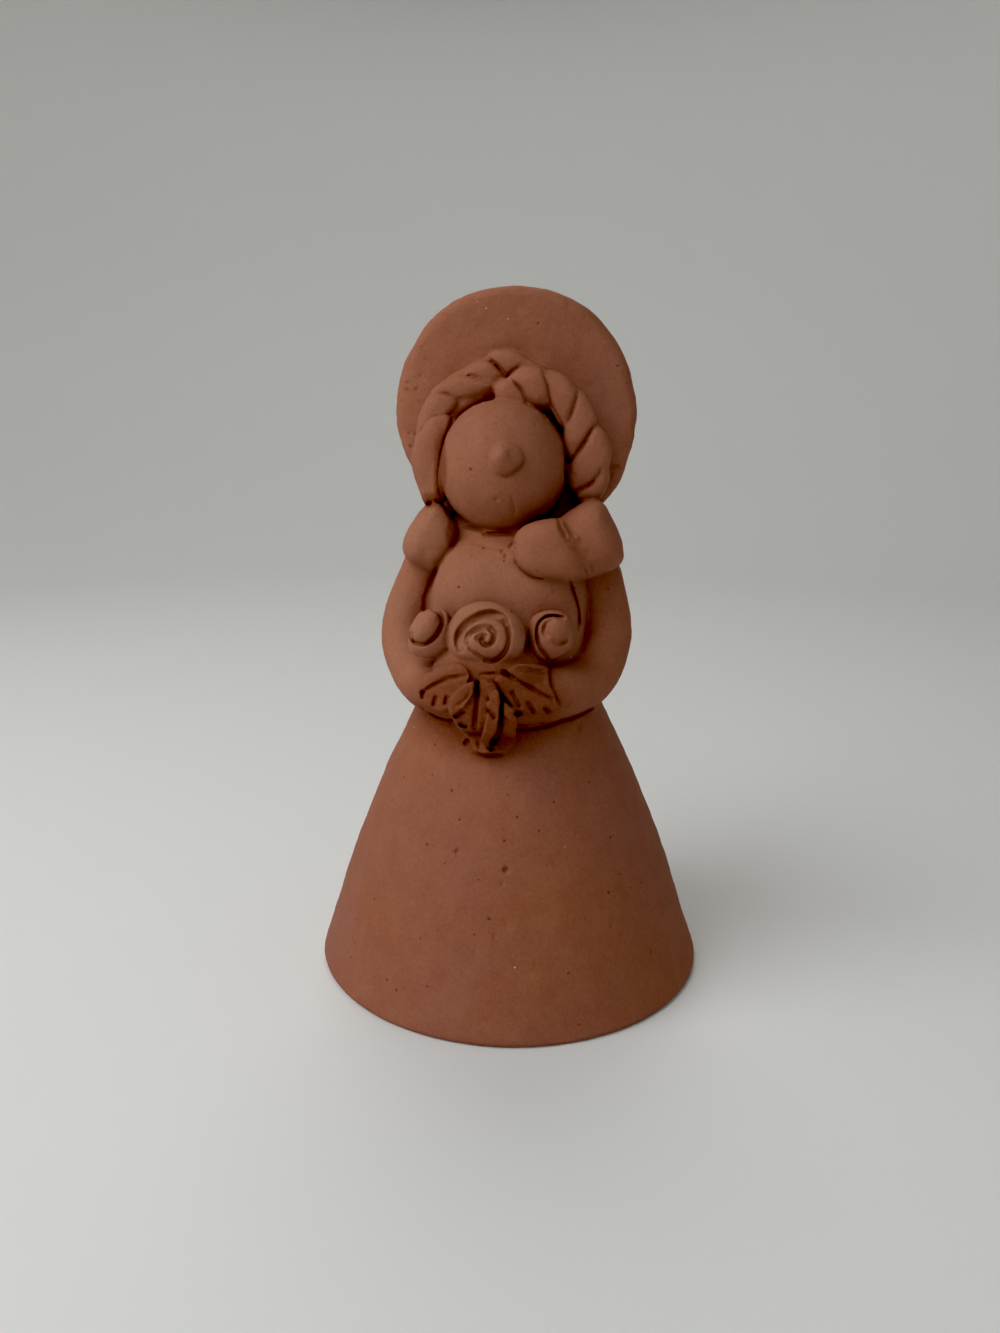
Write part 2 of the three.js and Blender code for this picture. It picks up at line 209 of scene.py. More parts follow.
# Creases between the braids' lumps in px, each a wide valley with a fine line at its bottom; then other
# creases and cracks, given as the grooves are
BRAID_CREASES = [
    [(489, 359), (495, 364), (500, 369), (506, 375)],
    [(508, 376), (513, 371), (519, 367)],
    [(466, 375), (475, 377), (483, 380), (492, 384.5)],
    [(435, 394), (445, 394), (452, 396.5), (457, 399)],
    [(421, 432), (428, 422), (433, 417), (440, 415.5), (448, 415.5)],
    [(511, 379), (518, 386), (523, 393), (527, 402)],
    [(543.5, 373), (546, 381), (548, 388), (549, 396), (551, 404)],
    [(578, 391), (575, 402), (572, 412), (568, 422)],
    [(595, 424), (590, 432), (584, 442), (578, 451), (571, 460)],
    [(602, 467), (598, 475), (592, 483), (585, 488), (577, 491.5)],
]
VALLEY_WIDTH = 0.8
VALLEY_DEPTH = 0.3
VALLEY_SOFTNESS = 0.6
CREASE_WIDTH = 0.15
CREASE_DEPTH = 0.5

CREASES = [
    ([(585, 441.5), (590, 441)], 0.4, 0.5),
    ([(571, 474), (576, 475)], 0.4, 0.4),
    ([(437, 568), (432, 580), (428, 590), (425, 599), (424.5, 612)], 0.5, 0.6),
    ([(569, 580), (572, 590), (576, 602), (578.5, 615), (578, 628)], 0.7, 0.7),
    ([(516, 729), (530, 728.5), (545, 726), (560, 721), (576, 716), (592, 708)], 0.5, 0.8),
    ([(421, 705), (430, 712.5), (444, 719), (453, 719)], 0.3, 0.5),
    ([(559, 521), (560, 527), (563, 533), (567, 541)], 0.6, 0.7),
    ([(571, 548), (577, 551)], 0.4, 0.4),
    ([(581, 563), (581, 572)], 0.5, 0.6),
    ([(583, 565), (586, 575)], 0.4, 0.5),
    ([(588, 562), (592, 573)], 0.45, 0.5),
    ([(436, 501), (443, 505), (447, 512), (452, 519)], 0.6, 0.9),
    ([(464, 527), (472, 528), (482, 530.5)], 0.5, 0.7),
    ([(485, 534), (500, 533.5), (515, 533.5)], 0.7, 1.0),
    ([(474, 529.5), (495, 529), (515, 529.5)], 0.35, 0.3),
    ([(510, 547), (514, 543)], 0.5, 0.6),
    ([(474, 544), (494, 548), (511, 555)], 0.3, 0.25),
    ([(512, 495), (512.5, 500), (514, 507), (514.5, 515)], 0.55, 0.35),
    ([(497, 474.5), (507, 475.5), (514, 471), (520, 465.5), (524, 459)], 0.6, 0.35),
    ([(610, 466.5), (623, 466.5)], 0.4, 0.8),
    ([(515, 543), (513.5, 550), (515.5, 561), (521, 569), (528, 574), (536, 577.5), (547, 576.5)], 0.2, 0.6),
    ([(449, 511), (455, 521), (457, 533), (453, 545)], 0.3, 0.4),
    ([(453, 418), (447, 431), (443, 445), (440, 460), (438, 478), (440, 494), (446, 505)], 0.3, 0.5),
    ([(551, 405), (556, 414), (562, 426), (563.5, 440), (566, 455), (565.5, 470), (567, 486)], 0.3, 0.5),
    ([(579.5, 723), (579.5, 731)], 0.4, 0.5),
]

# Pits, and crumbs that stand up: place in px and radius in mm
PITS = [
    ((457.5, 851.4), 0.5), ((506, 870), 0.6), ((502, 884), 0.35), ((495, 937), 0.35), ((611, 926), 0.3),
    ((496, 499.5), 0.35), ((487.5, 438), 0.25), ((475, 439), 0.22), ((461.5, 460), 0.25), ((497, 424), 0.22),
    ((535.5, 425.5), 0.22), ((540, 452), 0.22), ((570, 541.5), 0.3), ((587.5, 553), 0.28), ((506, 556), 0.35),
    ((502, 552), 0.3), ((553, 592), 0.3), ((430, 504), 0.6), ((408, 383), 0.35), ((407.5, 390), 0.35),
    ((417, 389.5), 0.35), ((410, 393), 0.25), ((422, 347), 0.3), ((421, 376), 0.3), ((423, 379), 0.25),
    ((403, 402), 0.35), ((412, 447), 0.4), ((410, 434), 0.3), ((416, 434), 0.3),
]

CRUMBS = [
    ((546, 415), 0.28), ((549, 419), 0.24), ((555, 423), 0.26), ((557, 428), 0.24), ((561, 443), 0.26),
    ((482, 399), 0.26), ((484, 403), 0.24), ((577, 538), 0.3), ((573, 540), 0.25), ((538, 398), 0.25),
]

# Leaves: outlines in px and the thickness of the sheet
LEAVES = {
    "left": ([(462, 664), (448, 664), (434, 669), (421, 677), (414, 687), (417, 699), (428, 708), (441, 712),
              (452, 706), (463, 690), (470, 676)], 1.3),
    "right": ([(505, 672), (517, 664), (533, 664), (549, 668), (551, 682), (556, 695), (560, 708), (540, 713),
               (518, 711), (507, 703), (499, 692), (496, 680)], 1.5),
    "fold": ([(500, 700), (508, 703), (516, 713), (517, 728), (515, 743), (505, 753), (494, 755), (488, 748),
              (494, 732), (498, 715)], 1.9),
    "centre": ([(478, 681), (464, 685), (452, 696), (449, 708), (453, 720), (463, 733), (470, 746),
                (478, 754), (490, 754), (497, 742), (501, 722), (502, 702), (497, 687), (488, 681)], 1.9),
}
LEAF_GROOVES = [
    ([(465, 676), (450, 678), (438, 683), (422, 693)], 0.75, 0.94),
    ([(477.5, 684), (477, 702), (475.5, 716), (475, 727)], 0.85, 1.22),
    ([(477.5, 684), (477.3, 694)], 1.0, 1.37),
    ([(505, 674), (517, 680), (530, 687), (541, 693.5), (554, 700)], 0.7, 0.94),
    ([(504, 673), (512, 677)], 1.1, 1.22),
    ([(471, 690), (466, 698), (454, 708)], 0.5, 0.5),
    ([(489, 699), (495, 704), (500, 712)], 0.6, 0.58),
    ([(501, 694), (501.5, 710), (499, 730), (493, 742), (490, 748)], 0.8, 1.15),
    ([(521, 668), (533, 671), (547, 671.5)], 0.9, 0.72),
    ([(549, 668), (550, 682), (554, 694), (560, 707)], 0.35, 0.43),
    ([(497, 683), (500, 692), (505, 700), (511, 707)], 0.45, 0.65),
    ([(478, 739), (479.5, 750)], 0.45, 0.5),
    ([(474, 753), (490, 755), (502, 754)], 0.4, 0.58),
    ([(481, 675), (490, 674), (498, 675)], 0.6, 0.65),
    ([(488, 747), (493, 751)], 0.4, 0.43),
    ([(417, 679), (425, 677.5)], 0.35, 0.29),
    ([(422, 671), (436, 671)], 0.35, 0.29),
]
LEAF_DOTS = [
    ((423, 692), (423, 697)), ((436, 698), (434, 704)), ((447, 698), (446, 703)),
    ((463, 711), (456, 716)), ((461, 724), (466, 726)), ((490, 711), (495, 717)),
    ((512, 693), (519, 706)), ((528, 703), (534, 711)), ((545, 708), (549, 711)),
    ((515, 714), (519, 713)), ((466, 743), (468, 741)),
]
LEAF_DOT_WIDTH = 0.75
LEAF_DOT_DEPTH = 0.85

# How softly each shape runs into the clay that is there before it, in mm
BLENDS = {
    "skirt": 0.1, "hollow": 1.0, "back": 2.5, "chest": 1.5, "shoulders": 3.0, "hands": 1.0, "arms": 0.5,
    "brim": 0.8, "crown": 2.0, "hair": 1.0, "neck": 1.5, "nape": 1.5, "left sleeve": 0.4,
    "right sleeve": 0.25, "head": 0.3, "nose": 0.35, "strands": 0.5, "lumps": 0.6, "roses": 0.4,
}

# Surface: sizes and heights of the unevenness in mm, each with its random seed, the height on the skirt
# from which it is full, and how far out a corner looks for how open it is
UNEVENNESS = [(16.0, 0.22, 1), (7.0, 0.14, 2), (2.6, 0.085, 3), (1.1, 0.06, 4)]
RAW_ROUGHNESS = [(1.6, 0.10, 5), (0.8, 0.06, 6)]
UNEVEN_ABOVE = 2.0
OPENNESS_REACHES = [0.5, 1.0, 2.0, 3.5]

# Where the clay is rough and darker, partly raw clay and partly painted shade: middle and reach in px
RAW_CLAY_AND_SHADE = [((487, 706), (95, 62)), ((440, 468), (8, 46)), ((452, 533), (8, 18)), ((430, 500), (12, 9))]
# Where painted light makes the front paler, on the lit left side, the chest and the rose: middle and reach in
# px
PAINTED_LIGHT_SPOTS = [((403, 640), (40, 100)), ((425, 540), (45, 50)), ((490, 590), (80, 55)),
            ((480, 640), (60, 50))]
RAW_AND_SHADE_SHARPNESS = 3.0
PAINTED_LIGHT_SHARPNESS = 1.5


def soft_min(a, b, k):
    near = np.maximum(k - np.abs(a - b), 0) / k
    return np.minimum(a, b) - near * near * (k / 4)


def soft_max(a, b, k):
    near = np.maximum(k - np.abs(a - b), 0) / k
    return np.maximum(a, b) + near * near * (k / 4)


def smooth_curve(points, steps):
    """Points evenly spread over a curve through the given points."""
    points = np.array(points, float)
    ends = np.vstack([2 * points[0] - points[1], points, 2 * points[-1] - points[-2]])
    places = np.linspace(0, len(points) - 1, steps)
    first = np.minimum(places.astype(int), len(points) - 2)
    t = (places - first)[:, None]
    a, b, c, d = (ends[first + i] for i in range(4))
    return 0.5 * (2 * b + (c - a) * t + (2 * a - 5 * b + 4 * c - d) * t**2 + (3 * b - a - 3 * c + d) * t**3)


def spread(stations, steps):
    """Values read evenly along a list of stations."""
    return np.interp(np.linspace(0, len(stations) - 1, steps), range(len(stations)), stations)


def line_distance(u, v, line, closed=False):
    """Distance in pixels to a line of points; negative inside a closed one."""
    best = np.full(u.shape, 1e9)
    inside = np.zeros(u.shape, bool)
    ends = np.roll(line, -1, axis=0) if closed else line[1:]
    for (ax, ay), (bx, by) in zip(line, ends):
        dx, dy = bx - ax, by - ay
        t = np.clip(((u - ax) * dx + (v - ay) * dy) / max(dx * dx + dy * dy, 1e-9), 0, 1)
        best = np.minimum(best, (u - ax - t * dx) ** 2 + (v - ay - t * dy) ** 2)
        if closed:
            crosses = (ay > v) != (by > v)
            inside ^= crosses & (u < dx * (v - ay) / (dy if dy else 1e-9) + ax)
    best = np.sqrt(best)
    return np.where(inside, -best, best) if closed else best


def closed_curve(points, steps_each=5):
    points = np.array(points, float)
    count = len(points)
    wrapped = np.vstack([points[-2:], points, points[:3]])
    curve = smooth_curve(wrapped, (len(wrapped) - 1) * steps_each + 1)
    return curve[2 * steps_each:(2 + count) * steps_each]


class View:
    """The photograph's camera: turns places into pixels, and pixels into lines of sight."""

    def __init__(self):
        turn, pitch, roll = np.radians([VIEW_TURN, VIEW_PITCH, VIEW_ROLL])
        out = np.array([np.sin(turn), -np.cos(turn), 0.0])
        level = np.array([np.cos(turn), np.sin(turn), 0.0])
        self.place = out * VIEW_DISTANCE + level * VIEW_SIDE + np.array([0.0, 0.0, VIEW_HEIGHT])
        self.ahead = -out * np.cos(pitch) - np.array([0.0, 0.0, np.sin(pitch)])
        upright = np.cross(level, self.ahead)
        self.right = level * np.cos(roll) + upright * np.sin(roll)
        self.up = upright * np.cos(roll) - level * np.sin(roll)

    def pixels(self, x, y, z):
        """Pixel coordinates, and how many millimetres one pixel covers there."""
        dx, dy, dz = (c - float(p) for c, p in zip((x, y, z), self.place))
        along, side, rise = (dx * float(a[0]) + dy * float(a[1]) + dz * float(a[2])
                             for a in (self.ahead, self.right, self.up))
        scale = along / FOCAL_PX
        return PHOTO_SIZE_PX[0] / 2 + side / scale, PHOTO_SIZE_PX[1] / 2 - rise / scale, scale

    def ray(self, u, v):
        return (self.ahead + self.right * (u - PHOTO_SIZE_PX[0] / 2) / FOCAL_PX
                - self.up * (v - PHOTO_SIZE_PX[1] / 2) / FOCAL_PX)

    def at_depth(self, u, v, y):
        ray = self.ray(u, v)
        return self.place + ray * (y - self.place[1]) / ray[1]


VIEW = View()


# Shapes: each is its lowest and highest corner and a function that gives the distance to it

def turned(degrees_xyz):
    x, y, z = np.radians(degrees_xyz)
    return np.array(Matrix.Rotation(z, 3, "Z") @ Matrix.Rotation(y, 3, "Y") @ Matrix.Rotation(x, 3, "X"))


def ball(centre, half, turn=(0, 0, 0), power=2.0):
    """An ellipsoid, or for a higher power a fuller form."""
    centre, half, axes = np.array(centre, float), np.array(half, float), turned(turn)
    size = np.full(3, half.max()) if any(turn) else half

    def distance(x, y, z):
        local = [sum((c - centre[i]) * axes[i, j] for i, c in enumerate((x, y, z))) for j in range(3)]
        if power != 2.0:
            inside = sum(np.abs(c / h) ** power for c, h in zip(local, half)) ** (1 / power)
            return (inside - 1) * half.min()
        near = np.sqrt(sum((c / h) ** 2 for c, h in zip(local, half)))
        slope = np.sqrt(sum((c / (h * h)) ** 2 for c, h in zip(local, half)))
        return near * (near - 1) / np.maximum(slope, 1e-6)

    return centre - size, centre + size, distance


def roll(points, radii):
    """A roll of clay along points."""
    points, radii = np.array(points, float), np.array(radii, float)

    def distance(x, y, z):
        flat = [np.ravel(c) for c in (x, y, z)]
        result = np.full([len(c) for c in flat], FAR, np.float32)
        for a, b, ra, rb in zip(points, points[1:], radii, radii[1:]):
            reach = max(ra, rb) + REACH
            spans = [slice(*np.searchsorted(c, (min(p, q) - reach, max(p, q) + reach)))
                     for c, p, q in zip(flat, a, b)]
            local = [c[s] - np.float32(p) for c, s, p in zip(flat, spans, a)]
            px, py, pz = local[0][:, None, None], local[1][None, :, None], local[2][None, None, :]
            ab = (b - a).astype(np.float32)
            t = np.clip((px * ab[0] + py * ab[1] + pz * ab[2]) / max(float(ab @ ab), 1e-9), 0, 1)
            away = np.sqrt((px - t * ab[0]) ** 2 + (py - t * ab[1]) ** 2 + (pz - t * ab[2]) ** 2)
            spans = tuple(spans)
            result[spans] = np.minimum(result[spans], away - np.float32(ra) - t * np.float32(rb - ra))
        return result

    reach = radii.max()
    return points.min(0) - reach, points.max(0) + reach, distance


class Outline:
    """A closed line in px, as the reach from its middle in each direction."""

    def __init__(self, points_px):
        self.line = closed_curve(points_px)
        self.middle = self.line.mean(0)
        arms = self.line - self.middle
        angles = np.arctan2(arms[:, 1], arms[:, 0])
        order = np.argsort(angles)
        self.angles, self.reaches = angles[order], np.hypot(*arms[order].T)

    def share(self, x, y, z):
        """How far out a place is, 1 on the line, and the reach in mm of the line there."""
        u, v, scale = VIEW.pixels(x, y, z)
        du, dv = u - self.middle[0], v - self.middle[1]
        reach = np.interp(np.arctan2(dv, du), self.angles, self.reaches, period=2 * np.pi) * scale
        return np.hypot(du, dv) * scale / reach, reach


def pebble(outline_px, depth, half_thickness, fullness=2.3):
    """A pebble of clay that fills an outline as the camera sees it, with its middle at a depth Y."""
    outline = Outline(outline_px)
    ends = np.array([VIEW.at_depth(u, v, y) for u, v in outline.line
                     for y in (depth - half_thickness, depth + half_thickness)])

    def distance(x, y, z):
        a, reach = outline.share(x, y, z)
        b = np.abs(y - depth) / half_thickness + 0 * a
        share = np.maximum((a ** fullness + b ** fullness) ** (1 / fullness), 1e-3)
        slope = share ** (1 - fullness) * np.hypot(a ** (fullness - 1) / reach,
                                                   b ** (fullness - 1) / half_thickness)
        return ((share - 1) / np.maximum(slope, 1e-2)).astype(np.float32)

    return ends.min(0), ends.max(0), distance


def joined(shapes, blend):
    """Several shapes smoothed into one."""
    def distance(x, y, z):
        total = shapes[0][2](x, y, z)
        for shape in shapes[1:]:
            total = soft_min(total, shape[2](x, y, z), blend)
        return total

    lows, highs, _ = zip(*shapes)
    return np.min(lows, 0), np.max(highs, 0), distance


class Clay:
    """Clay as signed distances in mm on a grid, negative inside."""

    def __init__(self, low, high):
        self.axes = [np.arange(a, b, VOXEL, dtype=np.float32) for a, b in zip(low, high)]
        self.low = np.array([a[0] for a in self.axes])
        self.d = np.full([len(a) for a in self.axes], FAR, np.float32)

    def block(self, low, high):
        spans = tuple(slice(*np.searchsorted(axis, (a, b))) for axis, a, b in zip(self.axes, low, high))
        x, y, z = (axis[s] for axis, s in zip(self.axes, spans))
        return spans, (x[:, None, None], y[None, :, None], z[None, None, :])

    def add(self, shape, blend=0.5):
        low, high, distance = shape
        spans, xyz = self.block(low - REACH, high + REACH)
        self.d[spans] = soft_min(self.d[spans], distance(*xyz), blend)

    def cut(self, shape, blend=0.3):
        low, high, distance = shape
        spans, xyz = self.block(low - REACH, high + REACH)
        self.d[spans] = soft_max(self.d[spans], -distance(*xyz), blend)

    def sample(self, points):
        """Distances at points, read between the grid's corners."""
        q = (points - self.low) / VOXEL
        q = np.clip(q, 0, np.array(self.d.shape) - 1.001)
        i = q.astype(int)
        f = q - i
        total = 0.0
        for corner in np.ndindex(2, 2, 2):
            weight = np.prod(np.where(corner, f, 1 - f), axis=-1)
            total = total + weight * self.d[tuple((i + corner)[..., k] for k in range(3))]
        return total

    def normals(self, points, step=0.6):
        shifts = np.eye(3) * step
        n = np.stack([self.sample(points + s) - self.sample(points - s) for s in shifts], -1)
        return n / np.maximum(np.linalg.norm(n, axis=-1, keepdims=True), 1e-9)

    def seen(self, pixels):
        """The places where lines of sight through pixels meet the clay; lines that miss are left out."""
        rays = np.array([VIEW.ray(u, v) for u, v in pixels])
        far = np.arange(150.0, 235.0, 0.15)
        points = VIEW.place + rays[:, None, :] * far[None, :, None]
        inside = self.sample(points) < 0
        hit = inside.any(1)
        return points[hit, inside[hit].argmax(1)]


def lay_sheet(clay, outline_px, thickness, rounding=0.5, seam=0.15):
    """Lays a sheet of clay of this outline on what the camera sees there."""
    outline = closed_curve(outline_px)
    places = clay.seen(outline)
    spans, xyz = clay.block(places.min(0) - 4, places.max(0) + 4)
    base = clay.d[spans]
    u, v, scale = VIEW.pixels(*xyz)
    edge = (line_distance(u, v, outline, closed=True) * scale).astype(np.float32)
    sheet = soft_max(edge, base - thickness, rounding)
    clay.d[spans] = soft_min(base, sheet, seam)


def press(clay, line_px, width, depth, soften=0.22, fading=True):
    """Presses a groove in along a line, or raises a ridge where the depth is negative."""
    line = smooth_curve(line_px, 5 * len(line_px)) if len(line_px) > 2 else np.array(line_px, float)
    places = clay.seen(line)
    if not len(places):
        return
    pad = abs(depth) + width + 0.6
    spans, xyz = clay.block(places.min(0) - pad, places.max(0) + pad)
    u, v, scale = VIEW.pixels(*xyz)
    aside = line_distance(u, v, line) * scale
    soften = max(soften, 1.25 * VOXEL)
    share = np.clip((width / 2 + soften - aside) / (2 * soften), 0, 1)
    share = share * share * (3 - 2 * share)
    if fading:
        end = np.minimum(np.hypot(u - line[0, 0], v - line[0, 1]), np.hypot(u - line[-1, 0], v - line[-1, 1]))
        share = share * np.clip(0.35 + 0.65 * end * scale / (2 * width), 0, 1)
    clay.d[spans] += (depth * share).astype(np.float32)


def press_dot(clay, place_px, radius, depth):
    u, v = place_px
    press(clay, [(u, v), (u + 0.1, v)], 2 * radius, depth, 0.15, fading=False)


# Skirt

SKIRT_CURVE = np.polyfit(SKIRT_HEIGHTS, SKIRT_RADII, 4)


def bell(inset, low, top, edge, top_edge):
    def distance(x, y, z):
        lean = SKIRT_LEAN * (z / SKIRT_LEAN_HEIGHT) ** 2
        around = np.sqrt((x - lean) ** 2 + y * y)
        bulge = HEM_BULGE * np.clip(np.cos(np.arctan2(y, x) - np.radians(HEM_BULGE_ANGLE)), 0, 1) ** 2
        bulge = bulge * np.clip(1 - z / HEM_BULGE_HEIGHT, 0, 1)
        side = (around - bulge - (np.polyval(SKIRT_CURVE, z) - inset).astype(np.float32)) * SKIRT_COSINE
        body = soft_max(side, low - z, edge)
        return soft_max(body, z - top, top_edge).astype(np.float32)

    size = np.array([SKIRT_RADII[0], SKIRT_RADII[0], 0.0])
    return np.array([0, 0, low]) - size, np.array([0, 0, top]) + size, distance


# Hat

def brim():
    """A round sheet, a little thicker in the middle, with its top bent forward and its sides back."""
    outline = Outline(BRIM_OUTLINE)
    centre = np.array(BRIM_CENTRE)
    front = turned((-BRIM_LEAN, 0, 0)) @ np.array([0.0, -1.0, 0.0])

    def distance(x, y, z):
        share, reach = outline.share(x, y, z)
        ahead = sum((c - centre[i]) * front[i] for i, c in enumerate((x, y, z)))
        inner = np.minimum(share, 1) ** 2
        up, side = (z - centre[2]) / reach, (x - centre[0]) / reach
        middle = BRIM_TOP_FORWARD * up ** 2 - BRIM_SIDES_BACK * side ** 2
        half = BRIM_HALF_MIDDLE + (BRIM_HALF_EDGE - BRIM_HALF_MIDDLE) * inner
        a, b = (share - 1) * reach + half, np.abs(ahead - middle)
        away = np.sqrt(np.maximum(a, 0) ** 2 + b ** 2)
        return (away - half).astype(np.float32)

    return centre - BRIM_REACH, centre + BRIM_REACH, distance


# The figurine, in the order in which it is put together

def add_body(clay):
    clay.add(bell(0, 0, SKIRT_TOP, HEM_ROUNDING, SKIRT_TOP_ROUNDING), BLENDS["skirt"])
    clay.add(ball(*BACK), BLENDS["back"])
    clay.add(ball(*CHEST, power=CHEST_FULLNESS), BLENDS["chest"])
    clay.add(ball(*SHOULDERS), BLENDS["shoulders"])
    clay.add(ball(*HANDS), BLENDS["hands"])
    for points, radii in (LEFT_ARM, RIGHT_ARM):
        arm = roll(smooth_curve(points, ARM_STEPS), spread(radii, ARM_STEPS))
        clay.add(arm, BLENDS["arms"])


def add_hat_and_sleeves(clay):
    clay.add(brim(), BLENDS["brim"])
    clay.add(ball(*CROWN, (-BRIM_LEAN, 0, 0)), BLENDS["crown"])
    clay.add(ball(*HAIR), BLENDS["hair"])
    clay.add(ball(*NECK), BLENDS["neck"])
    clay.add(ball(*NAPE), BLENDS["nape"])
    clay.add(pebble(*LEFT_SLEEVE, SLEEVE_FULLNESS), BLENDS["left sleeve"])
    puffs = [pebble(*puff, SLEEVE_FULLNESS) for puff in RIGHT_SLEEVE]
    clay.add(joined(puffs, RIGHT_SLEEVE_BLEND), BLENDS["right sleeve"])


def add_head(clay):
    clay.add(ball(*HEAD), BLENDS["head"])
    clay.add(joined([pebble(*NOSE), pebble(*NOSE_TIP)], NOSE_BLEND), BLENDS["nose"])
    for points, radius in UNDER_STRANDS:
        places = smooth_curve([VIEW.at_depth(*point) for point in points], STRAND_STEPS)
        clay.add(roll(places, [radius] * STRAND_STEPS), BLENDS["strands"])
    for lump in [*LEFT_LUMPS.values(), *RIGHT_LUMPS.values()]:
        clay.add(pebble(*lump, LUMP_FULLNESS), BLENDS["lumps"])


def add_flowers(clay):
    for rose in ROSES.values():
        clay.add(pebble(*rose), BLENDS["roses"])
    for line, width, depth in ROSE_GROOVES:
        press(clay, line, width, depth)
    for outline, thickness in LEAVES.values():
        lay_sheet(clay, outline, thickness)
    for line, width, depth in LEAF_GROOVES:
        press(clay, line, width, depth)
    for dot in LEAF_DOTS:
        press(clay, dot, LEAF_DOT_WIDTH, LEAF_DOT_DEPTH, fading=False)


def add_marks(clay):
    for line in BRAID_CREASES:
        press(clay, line, VALLEY_WIDTH, VALLEY_DEPTH, VALLEY_SOFTNESS)
        press(clay, line, CREASE_WIDTH, CREASE_DEPTH)
    for line, width, depth in CREASES:
        press(clay, line, width, depth)
    for place, radius in PITS:
        press_dot(clay, place, radius, radius)
    for place, radius in CRUMBS:
        press_dot(clay, place, radius, -radius)


def sculpt():
    clay = Clay(GRID_LOW, GRID_HIGH)
    add_body(clay)
    add_hat_and_sleeves(clay)
    add_head(clay)
    add_flowers(clay)
    add_marks(clay)
    clay.cut(bell(WALL, 2 * GRID_LOW[2], HOLLOW_TOP, 0.1, HOLLOW_ROUNDING), BLENDS["hollow"])
    return clay


def largest_island(points, faces):
    """Leaves out bubbles and loose bits: only the largest connected surface stays."""
    label = np.arange(len(points))
    while True:
        lower = label.copy()
        np.minimum.at(lower, faces.ravel(), np.repeat(label[faces].min(axis=1), 3))
        lower = lower[lower]
        if (lower == label).all():
            break
        label = lower
    island = label[faces[:, 0]]
    used, kept = np.unique(faces[island == np.bincount(island).argmax()], return_inverse=True)
    return points[used], kept.reshape(-1, 3)


def mesh_from(clay):
    grid = openvdb.FloatGrid(FAR)
    grid.copyFromArray(clay.d)
    grid.transform = openvdb.createLinearTransform(voxelSize=VOXEL)
    points, triangles, quads = grid.convertToPolygons(isovalue=0.0, adaptivity=0.0)
    points = points.astype(np.float64) + clay.low
    faces = np.vstack([quads[:, [0, 1, 2]], quads[:, [0, 2, 3]], triangles.reshape(-1, 3)])
    a, b, c = (points[faces[:, i]] for i in range(3))
    if np.einsum("ij,ij->i", a, np.cross(b, c)).sum() < 0:
        faces = faces[:, ::-1]
    points, faces = largest_island(points, faces)
    mesh = bpy.data.meshes.new(NODE + "_clay")
    mesh.vertices.add(len(points))
    mesh.vertices.foreach_set("co", (points * MM).ravel())
    mesh.loops.add(faces.size)
    mesh.loops.foreach_set("vertex_index", faces.ravel().astype(np.int32))
    mesh.polygons.add(len(faces))
    mesh.polygons.foreach_set("loop_start", np.arange(0, faces.size, 3, dtype=np.int32))
    mesh.update(calc_edges=True)
    return mesh


def thinned(piece):
    """Takes triangles away where the surface is plain, down to the most that a piece may have."""
    count = len(piece.data.polygons)
    modifier = piece.modifiers.new("thin", "DECIMATE")
    modifier.ratio = min(1.0, MOST_TRIANGLES / count)
    depsgraph = bpy.context.evaluated_depsgraph_get()
    mesh = bpy.data.meshes.new_from_object(piece.evaluated_get(depsgraph))
    piece.modifiers.clear()
    piece.data = mesh
    mesh.polygons.foreach_set("use_smooth", np.ones(len(mesh.polygons), bool))
    return piece


def lumps_of(mesh, size, seed):
    """Smooth random values from about -1 to 1 at the mesh's corners, with lumps of about this size in mm."""
    places = corners_of(mesh) / size
    low = np.floor(places.min(0)).astype(int) - 1
    lattice = np.random.default_rng(seed).uniform(-1, 1, np.ceil(places.max(0)).astype(int) - low + 3)
    places = places - low
    i = places.astype(int)
    f = places - i
    f = f * f * (3 - 2 * f)
    total = np.zeros(len(places))
    for corner in np.ndindex(2, 2, 2):
        weight = np.prod(np.where(corner, f, 1 - f), axis=1)
        total += weight * lattice[tuple((i + corner)[:, k] for k in range(3))]
    return total


def corners_of(mesh):
    co = np.empty(len(mesh.vertices) * 3)
    mesh.vertices.foreach_get("co", co)
    return co.reshape(-1, 3) / MM


def normals_of(mesh):
    normals = np.empty(len(mesh.vertices) * 3)
    mesh.vertices.foreach_get("normal", normals)
    return normals.reshape(-1, 3)


def nearness(places, spots, sharpness):
    """How near the front's places are to spots in px, from 0 at their reach to 1 inside."""
    u, v, _ = VIEW.pixels(*places.T)
    depth = [1 - np.hypot((u - px) / reach_u, (v - py) / reach_v)
             for (px, py), (reach_u, reach_v) in spots]
    return np.clip(np.max(depth, axis=0) * sharpness, 0, 1) * (places[:, 1] < 0)


def make_uneven(mesh):
    """Fingers leave the clay uneven: each corner moves a little along its normal."""
    places = corners_of(mesh)
    move, rough = (sum(height * lumps_of(mesh, size, seed) for size, height, seed in layers)
                   for layers in (UNEVENNESS, RAW_ROUGHNESS))
    move += nearness(places, RAW_CLAY_AND_SHADE, RAW_AND_SHADE_SHARPNESS) * rough
    move *= np.clip(places[:, 2] / UNEVEN_ABOVE, 0, 1)
    mesh.vertices.foreach_set("co", ((places + normals_of(mesh) * move[:, None]) * MM).ravel())
    mesh.update()


def add_attribute(mesh, name, values):
    attribute = mesh.attributes.new(name, "FLOAT", "POINT")
    attribute.data.foreach_set("value", np.clip(values, 0, 1).astype(np.float32))


def mark_crevices(mesh, clay):
    """Records how open each corner is: 1 on a free surface, towards 0 down in a crevice, where the material
    paints shade.
    """
    places, normals = corners_of(mesh), normals_of(mesh)
    openness = np.mean([np.clip(clay.sample(places + normals * reach) / reach, 0, 1)
                        for reach in OPENNESS_REACHES], axis=0)
    add_attribute(mesh, "openness", openness)


# Looks

